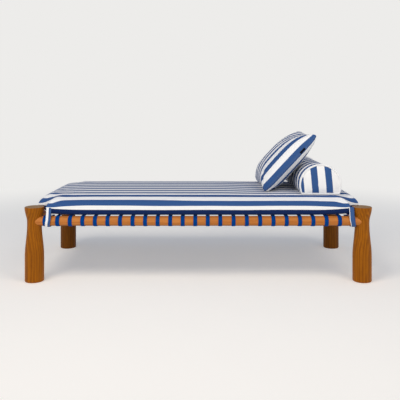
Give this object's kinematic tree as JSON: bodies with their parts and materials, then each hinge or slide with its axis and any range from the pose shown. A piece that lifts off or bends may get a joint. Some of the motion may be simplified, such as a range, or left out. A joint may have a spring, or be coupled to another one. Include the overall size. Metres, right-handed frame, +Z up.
{
  "type": "sun lounger",
  "caption": "Long low sun lounger with turned wooden legs, round rails wrapped in webbing, a tied-on striped mattress, a D-shaped bolster and a square cushion leaning on it.",
  "frame": {"origin": "on the floor, under the middle of the frame", "axes": "+X along the length towards the bolster end, +Y towards the back side, +Z up; the side seen in the picture is at -Y"},
  "size_m": [2.002, 0.902, 0.8451],
  "materials": {
    "leg_wood": "satin",
    "rail_wood": "satin",
    "webbing": "matte",
    "tie_cloth": "matte",
    "mattress_cloth": "matte",
    "bolster_cloth": "matte",
    "cushion_cloth": "matte",
    "foam": "matte",
    "tag_cloth": "matte",
    "tack_metal": "satin",
    "bolt_metal": "satin",
    "glide": "matte"
  },
  "bodies": {
    "frame": {"leg_foot_front": "leg_wood", "leg_foot_back": "leg_wood", "leg_head_front": "leg_wood", "leg_head_back": "leg_wood", "side_rail_front": "rail_wood", "side_rail_back": "rail_wood", "end_rail_foot": "rail_wood", "end_rail_head": "rail_wood", "cross_strap_01": "webbing", "cross_strap_02": "webbing", "cross_strap_03": "webbing", "cross_strap_04": "webbing", "cross_strap_05": "webbing", "cross_strap_06": "webbing", "cross_strap_07": "webbing", "cross_strap_08": "webbing", "cross_strap_09": "webbing", "cross_strap_10": "webbing", "cross_strap_11": "webbing", "cross_strap_12": "webbing", "cross_strap_13": "webbing", "cross_strap_14": "webbing", "cross_strap_15": "webbing", "cross_strap_16": "webbing", "cross_strap_17": "webbing", "cross_strap_18": "webbing", "cross_strap_19": "webbing", "cross_strap_20": "webbing", "cross_strap_21": "webbing", "cross_strap_22": "webbing", "cross_strap_23": "webbing", "cross_strap_24": "webbing", "cross_strap_25": "webbing", "long_strap_1": "webbing", "long_strap_2": "webbing", "long_strap_3": "webbing", "long_strap_4": "webbing", "long_strap_5": "webbing", "long_strap_6": "webbing", "long_strap_7": "webbing", "strap_tacks": "tack_metal", "bed_bolts": "bolt_metal", "bolt_washers": "bolt_metal", "barrel_nuts": "bolt_metal", "bolt_plugs": "leg_wood", "foot_glides": "glide", "mattress_cover": "mattress_cloth", "mattress_core": "foam", "tie_foot_front": "tie_cloth", "tie_foot_back": "tie_cloth", "tie_head_front": "tie_cloth", "tie_head_back": "tie_cloth"},
    "bolster": {"bolster_cover": "bolster_cloth", "bolster_core": "foam"},
    "cushion": {"cushion_cover": "cushion_cloth", "cushion_core": "foam", "cushion_tag": "tag_cloth"}
  },
  "joints": [
    {"name": "bolster_lift", "type": "slide", "parent": "frame", "child": "bolster", "axis": [0.9061, 0, 0.423], "range_m": [0, 0.45]},
    {"name": "cushion_lift", "type": "slide", "parent": "frame", "child": "cushion", "axis": [-0.7312, 0, 0.6822], "range_m": [0, 0.5]}
  ]
}
